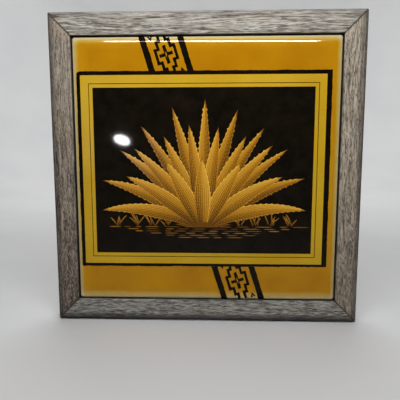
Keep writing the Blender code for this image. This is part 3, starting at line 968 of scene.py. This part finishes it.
def build_bands(ink):
    edge = TILE_SIZE.z / 2 - BAND_INSET
    ranges = {
        "upper_band_print": (UPPER_MOTIF, (BORDER_TOP - BAND_LAP, edge)),
        "lower_band_print": (LOWER_MOTIF, (-edge, BORDER_BOTTOM + BAND_LAP)),
    }
    for seed, (name, (motif, clip)) in enumerate(ranges.items(), start=BAND_SEED):
        shapes = motif_shapes(motif, np.random.default_rng(seed))
        mesh = printed_mesh(name, shapes, BAND_INK_THICKNESS, clip)
        add_piece(name, mesh, ink, smooth=False)


# Picture panel


PANEL_LOW, PANEL_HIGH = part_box("picture_panel")
PANEL_MIDDLE = (PANEL_LOW + PANEL_HIGH) / 2
PANEL_SIZE = (PANEL_HIGH - PANEL_LOW) / MM
PANEL_FACE = PANEL_LOW.y


def panel_point(x, z, lift):
    """A point of the printing on the panel, in millimetres, lifted off its face by that much."""
    across = PANEL_MIDDLE.x + (x + PRINT_SHIFT[0]) * MM
    return (across, PANEL_FACE - lift * MM, PANEL_MIDDLE.z + (z + PRINT_SHIFT[1]) * MM)


def flat_print(name, outlines):
    """A thin closed print on the panel: an outline and its holes."""
    bm = bmesh.new()
    fill_outlines(bm, outlines, lambda x, z: panel_point(x, z, 0.0))
    return thickened(bm, name, PRINT_STEP)


def inset_rectangle(inset):
    return rounded_rectangle(PANEL_SIZE.x - 2 * inset, PANEL_SIZE.z - 2 * inset, PRINT_CORNER, 3)


def build_panel_lines(field_ink):
    rule = [inset_rectangle(RULE_INSET), inset_rectangle(RULE_INSET + RULE_WIDTH)]
    rule_ink = ink_look("rule_ink", paint(72, 48, 4), paint(104, 74, 8))
    add_piece("picture_rule", flat_print("picture_rule", rule), rule_ink, smooth=False)
    field = [inset_rectangle(FIELD_INSET)]
    add_piece("picture_field", flat_print("picture_field", field), field_ink, smooth=False)


# Picture: an agave in engraved gold


# A leaf's own sizes, as shares of its lean, width and length, its teeth, and the tones of its engraving
LEAF_ROWS = 72
LEAF_COLUMNS = (0.0, 0.07, 0.2, 0.26, 0.32, 0.46, 0.52, 0.58, 0.72, 0.78, 0.84, 0.95, 1.0)
LEAF_VEINS = (0.0, 0.26, 0.52, 0.78)
LEAF_STEP = 0.01
LEAF_FOOT = (0.0, -40.0)
LEAF_LEAN = 0.8
LEAF_DROOP = 0.34
ROOT_WIDTH = 0.55
ROOT_FLARE = 1.1
TIP_TAPER = 2.6
TOOTH_PITCH = 4.2
TOOTH_HEIGHT = 0.9
TOOTH_SHARPNESS = 2.6
TOOTHED_SPAN = (0.2, 0.93)
TIP_SPAN = 0.07
TIP_TONE = 0.5
ROOT_TONE = 0.34
FAR_TONE = 0.42
VEIN_TONE = 0.42
EDGE_TONE = 0.16
LIT_TONE = 0.16
LEAF_HATCH_PITCH = 2.3
LEAF_HATCH_SLANT = 0.7
TONE_GRAIN = 0.025
TONE_SCATTER = 0.03

# Leaves of each tier, as lean in degrees, length and half width
TIERS = {
    "back": (
        (-50, 82, 5.0), (50, 83, 5.0), (-33, 87, 5.2), (33, 85, 5.2),
        (-15, 91, 5.4), (17, 90, 5.4), (1, 94, 5.6),
    ),
    "middle": (
        (-70, 80, 5.4), (69, 81, 5.4), (-43, 75, 5.8), (42, 77, 5.8),
        (-24, 72, 6.0), (26, 73, 6.0), (-8, 76, 6.0), (9, 74, 6.0),
    ),
    "front": (
        (-88, 74, 5.6), (88, 75, 5.6), (-60, 65, 6.2), (61, 66, 6.2),
        (-30, 54, 6.6), (31, 53, 6.6), (-1, 50, 7.0),
    ),
}
TIER_TONE = {"back": -0.1, "middle": 0.0, "front": 0.06}

# Ground: a mound, rows of strokes that shorten downward, and tufts of grass
MOUND_LENGTH = 44
MOUND_HALF_WIDTH = 2.4
MOUND_TONE = 0.26
GROUND_DROP = 3
HATCH_ROWS = 6
HATCH_PITCH = 1.7
HATCH_HALF = 76
HATCH_TAPER = 11
STROKE_START = 6
STROKE_LENGTH = (5, 15)
STROKE_HALF_WIDTH = (0.22, 0.42)
STROKE_TONE = (0.2, 0.45)
STROKE_GAP = (1, 5)
GRASS_PLACES = (-66, -52, -39, -27, 28, 41, 53, 68)
GRASS_ROWS = 9
GRASS_TONE = -0.1
BLADE_COUNT = 5
BLADE_SCATTER = (2, 1)
BLADE_LEAN = 50
BLADE_LENGTH = (6, 13)
BLADE_HALF_WIDTH = 0.55


def leaf_tone(column, share, length, lit):
    """The engraving's tone along one column of a leaf: rib, veins, edge, hatching and dark tip."""
    tone = ROOT_TONE + FAR_TONE * share**0.7 + LIT_TONE * lit * column
    vein = min(abs(abs(column) - place) for place in LEAF_VEINS)
    tone = tone - (VEIN_TONE * (1 - 0.5 * share) if vein < 0.01 else 0)
    tone = tone + (EDGE_TONE if abs(column) > 0.9 else 0)
    slant = LEAF_HATCH_SLANT * column
    hatch = 0.5 + 0.5 * np.sin(2 * math.pi * (share * length / LEAF_HATCH_PITCH + slant))
    tone = tone - LIT_TONE * hatch * (column * lit < 0)
    return tone - TIP_TONE * np.clip(share - 1 + TIP_SPAN, 0, 1) / TIP_SPAN


def leaf_parts(foot, leaf, lift, tone_shift, rng):
    """Vertices, faces and tones of one closed leaf that arches away from upright."""
    angle, length, half_width = leaf
    toothed = half_width > BLADE_HALF_WIDTH
    rows = LEAF_ROWS if toothed else GRASS_ROWS
    columns = LEAF_COLUMNS if toothed else (0.0, 1.0)
    lean = math.radians(angle)
    droop = math.radians(angle * LEAF_DROOP)
    share = np.linspace(0, 1, rows)
    heading = lean * LEAF_LEAN + droop * share**1.5
    step = length / (rows - 1)
    spine_x = foot[0] + half_width * math.sin(lean) + np.cumsum(np.sin(heading)) * step
    spine_z = foot[1] + np.cumsum(np.cos(heading)) * step
    half = half_width * np.minimum(1, ROOT_WIDTH + ROOT_FLARE * share) * (1 - share**TIP_TAPER)
    tooth_phase = np.abs((share * length / TOOTH_PITCH) % 1 - 0.5) * 2
    first, last = TOOTHED_SPAN
    teeth = toothed * TOOTH_HEIGHT * np.clip(1 - tooth_phase * TOOTH_SHARPNESS, 0, 1)
    teeth = teeth * (share > first) * (share < last)
    lit = 1 if angle <= 0 else -1
    points = []
    tones = []
    for column in [-c for c in columns[:0:-1]] + list(columns):
        reach = column * half
        if abs(column) == 1:
            reach = math.copysign(1, column) * (half + teeth)
        points.append(np.stack([spine_x + reach * np.cos(heading), spine_z - reach * np.sin(heading)], 1))
        tone = tone_shift + leaf_tone(column, share, length, lit)
        tones.append(np.clip(tone + rng.normal(0, TONE_GRAIN, rows), 0, 1))
    grid = np.array(points)
    across = len(points)
    front = [panel_point(x, z, lift + LEAF_STEP) for x, z in grid.reshape(-1, 2)]
    back = [panel_point(x, z, lift) for x, z in grid[[0, -1]].reshape(-1, 2)]
    index = np.arange(across * rows).reshape(across, rows)
    left = np.arange(rows) + across * rows
    right = left + rows
    strips = [*zip(index, index[1:]), (index[-1], right), (right, left), (left, index[0])]
    faces = [(a[i], a[i + 1], b[i + 1], b[i]) for a, b in strips for i in range(rows - 1)]
    faces.append([*index[:, 0], right[0], left[0]])
    faces.append([*index[:, -1], right[-1], left[-1]])
    shades = np.concatenate([np.array(tones).ravel(), np.array(tones)[[0, -1]].ravel()])
    return front + back, faces, shades


def stroke_parts(middle, length, half_width, tone, lift):
    """Vertices, faces and tones of one closed stroke of the graver, level and pointed at both ends."""
    x, z = middle
    corners = ((-2, 0), (-1, -1), (1, -1), (2, 0), (1, 1), (-1, 1))
    outline = [(x + along * length / 4, z + up * half_width) for along, up in corners]
    count = len(outline)
    verts = [panel_point(*point, lift + rise) for rise in (LEAF_STEP, 0.0) for point in outline]
    faces = [list(range(count)), list(range(2 * count - 1, count - 1, -1))]
    faces += [(i, (i + 1) % count, count + (i + 1) % count, count + i) for i in range(count)]
    return verts, faces, np.full(2 * count, tone)


def add_print(name, parts, gold):
    """Closed parts, as vertices, faces and tones, joined in one printed piece."""
    verts = []
    faces = []
    for points, loops, _ in parts:
        faces += [[int(i) + len(verts) for i in loop] for loop in loops]
        verts += points
    mesh = new_mesh(name, verts, faces)
    store(mesh, "tone", np.concatenate([tones for _, _, tones in parts]))
    tidy_normals(mesh)
    add_piece(name, mesh, gold, smooth=False)


def ground_parts(rng):
    """A mound, level strokes in rows under it, shorter row by row, and tufts of grass beside it."""
    x, foot = LEAF_FOOT
    ground = foot - GROUND_DROP
    mound_lift = PRINT_STEP + LEAF_STEP
    parts = [stroke_parts((x, foot - 1), MOUND_LENGTH, MOUND_HALF_WIDTH, MOUND_TONE, mound_lift)]
    for row in range(HATCH_ROWS):
        half = HATCH_HALF - HATCH_TAPER * row
        x = -half + rng.uniform(0, STROKE_START)
        while x < half:
            length = rng.uniform(*STROKE_LENGTH)
            tone = rng.uniform(*STROKE_TONE)
            middle = (x + length / 2, ground - HATCH_PITCH * row)
            parts.append(stroke_parts(middle, length, rng.uniform(*STROKE_HALF_WIDTH), tone, PRINT_STEP))
            x += length + rng.uniform(*STROKE_GAP)
    aside, up = BLADE_SCATTER
    for place in GRASS_PLACES:
        for blade in range(BLADE_COUNT):
            root = (place + rng.uniform(-aside, aside), ground + rng.uniform(-up, up))
            leaf = (rng.uniform(-BLADE_LEAN, BLADE_LEAN), rng.uniform(*BLADE_LENGTH), BLADE_HALF_WIDTH)
            lift = PRINT_STEP + LEAF_STEP * (blade + 1)
            parts.append(leaf_parts(root, leaf, lift, GRASS_TONE, rng))
    return parts


def build_picture(gold):
    rng = np.random.default_rng(PICTURE_SEED)
    add_print("picture_ground", ground_parts(rng), gold)
    lift = PRINT_STEP + 2 * LEAF_STEP
    for tier, leaves in TIERS.items():
        parts = []
        for leaf in leaves:
            shift = TIER_TONE[tier] + rng.normal(0, TONE_SCATTER)
            parts.append(leaf_parts(LEAF_FOOT, leaf, lift, shift, rng))
            lift += LEAF_STEP
        add_print(f"picture_agave_{tier}", parts, gold)


# Carried-over parts and the back


BOARD_EASE = 0.35
HANGER_EASE = 0.12
PIN_EASE = 0.07
SHARP_ANGLE = 28
WELD = 1e-6


def eased_copy(node, ease, look):
    """A CAD piece with its edges broken, in place of the sharp one."""
    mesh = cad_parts[node].data.copy()
    bm = bmesh.new()
    bm.from_mesh(mesh)
    bmesh.ops.remove_doubles(bm, verts=bm.verts, dist=WELD)
    least = math.radians(SHARP_ANGLE)
    sharp = [edge for edge in bm.edges if edge.is_manifold and edge.calc_face_angle() > least]
    bmesh.ops.bevel(
        bm, geom=sharp, offset=ease * MM, segments=2, profile=0.5, affect="EDGES", clamp_overlap=True
    )
    piece = add_piece(f"{node}_eased", finished(bm, mesh), look, smooth=False)
    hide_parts(node)


def dress(node, look):
    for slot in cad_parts[node].material_slots:
        slot.material = look


def build_back():
    steel = metal_look("zinc_steel", paint(206, 206, 204), paint(168, 168, 166), paint(120, 114, 106))
    brass = metal_look("brass_plate", paint(230, 194, 116), paint(208, 168, 92), paint(168, 128, 66))
    board = board_look()
    glue = adhesive_look()
    eased_copy("backing_board", BOARD_EASE, board)
    eased_copy("sawtooth_hanger", HANGER_EASE, brass)
    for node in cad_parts:
        if node.startswith(("v_nail", "framers_point")):
            eased_copy(node, PIN_EASE, steel)
        elif node.startswith("hanger_nail"):
            dress(node, brass)
        elif node.startswith("adhesive_dab"):
            dress(node, glue)


# Stage


FLOOR_REACH = 9.0
WALL_PLACE = 1.8
WALL_HEIGHT = 2.6
COVE_RADIUS = 0.7
COVE_STEPS = 16
BACKDROP_RADIUS = 1.75
BACKDROP_LIFT = 0.0002
BACKDROP_STEPS = 96

# Lamps, in metres, watts and degrees, and greys of the room from its front to its back
LAMPS = {
    "soft_box": {"place": (0.003, -0.2301, 0.0905), "size": (0.2785, 0.03), "power": 0.87, "roll": -11.0},
    "round_lamp": {
        "place": (-0.2577, -0.9, -0.067),
        "size": (0.047, 0.027),
        "power": 0.07,
        "shape": "ELLIPSE",
        "roll": -20.0,
        "spread": 60.0,
    },
    "wall_lamp": {"place": (0, 0.55, 1.0), "target": (0, 1.8, 0.35), "size": (2.4, 0.6), "power": 13.0},
    "back_box": {"place": (0, 1.0, 1.1), "size": (1.6, 0.8), "power": 11.0},
}
ROOM_GREYS = {0.04: 0.1, 0.35: 0.13, 0.65: 0.29, 1.0: 0.55}


def cove_section(radius):
    """From the floor up a hollow curve to an upright wall, as (outward, up) in metres."""
    centre = (radius - COVE_RADIUS, COVE_RADIUS)
    return arc(centre, COVE_RADIUS, -90, 0, COVE_STEPS) + [(radius, WALL_HEIGHT)]


def add_stage(name, rows, look):
    """A sheet over rows of points, from the floor upward, that is no part of the object."""
    count = len(rows[0])
    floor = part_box("bottom_rail")[0].z
    verts = [(x, y, floor + z) for row in rows for x, y, z in row]
    corners = [i for i in range(len(verts) - count) if (i + 1) % count]
    faces = [(i, i + 1, i + 1 + count, i + count) for i in corners]
    mesh = new_mesh(name, verts, faces)
    mesh.shade_smooth()
    mesh.materials.append(look)
    thing = add_object(name, mesh)
    return thing


def build_stage():
    """A pale floor, a wall behind that throws light back, and a round backdrop for every view."""
    look = Look("pale_paper", roughness=0.9, specular_IOR_level=0.1)
    grain = look.noise(180, detail=2)
    look.shade("Base Color", look.ramp(grain, (0.3, paint(212, 213, 214)), (0.7, paint(218, 218, 218))))
    ends = (-FLOOR_REACH, FLOOR_REACH)
    add_stage("floor", [[(x, y, 0.0) for x in ends] for y in ends], look.material)
    upright = [[(x, y, z) for x in ends] for y, z in cove_section(WALL_PLACE)]
    wall = add_stage("wall", upright, look.material)
    wall.visible_camera = False
    turns = np.linspace(0, 2 * math.pi, BACKDROP_STEPS + 1)
    rows = []
    for out, up in cove_section(BACKDROP_RADIUS):
        rows.append([(out * math.cos(turn), out * math.sin(turn), up + BACKDROP_LIFT) for turn in turns])
    backdrop = add_stage("backdrop", rows, look.material)
    for ray in ("diffuse", "glossy", "transmission", "shadow"):
        setattr(backdrop, f"visible_{ray}", False)


def add_lamp(name, place, size, power, target=None, shape="RECTANGLE", roll=0.0, spread=180.0):
    """An area lamp that faces a target, or else the tile's middle. Angles are in degrees."""
    data = bpy.data.lights.new(name, "AREA")
    data.shape = shape
    data.size, data.size_y = size
    data.energy = power
    data.spread = math.radians(spread)
    lamp = add_object(name, data)
    lamp.visible_camera = False
    lamp.location = place
    facing = (Vector(target or TILE_MIDDLE) - Vector(place)).to_track_quat("-Z", "Y")
    lamp.rotation_euler = (facing @ Quaternion((0, 0, 1), math.radians(roll))).to_euler()


def light_studio():
    """A soft box before the tile, a small round lamp, two lamps behind, and a room dim at the front."""
    for name, lamp in LAMPS.items():
        add_lamp(name, **lamp)
    world = bpy.data.worlds.new("room")
    world.use_nodes = True
    bpy.context.scene.world = world
    room = Wiring(world.node_tree)
    greys = ((place, (grey, grey, grey, 1)) for place, grey in ROOM_GREYS.items())
    light = room.ramp(room.level(room.along("Y", "Generated"), -1.0, 1.0), *greys)
    room.feed(light, room.tree.nodes["Background"].inputs["Color"])


def place_camera():
    data = bpy.data.cameras.new("camera")
    data.sensor_width = SENSOR
    data.lens = FOCAL_LENGTH
    data.clip_start = NEAREST_SEEN
    camera = add_object("camera", data)
    camera.location = CAMERA_PLACE
    camera.rotation_euler = [math.radians(angle) for angle in CAMERA_TURN]
    bpy.context.scene.camera = camera


def main():
    bpy.context.scene.view_settings.view_transform = "Standard"
    place_camera()
    light_studio()
    build_stage()
    build_frame()
    build_tile()
    dress("picture_panel", foil_look())
    ink = ink_look("black_ink", paint(10, 7, 3), paint(24, 17, 9))
    build_border(ink)
    build_bands(ink)
    build_panel_lines(ink_look("field_ink", paint(13, 10, 6), paint(25, 19, 11), FIELD_GLOSS))
    build_picture(engraving_look())
    build_back()


main()
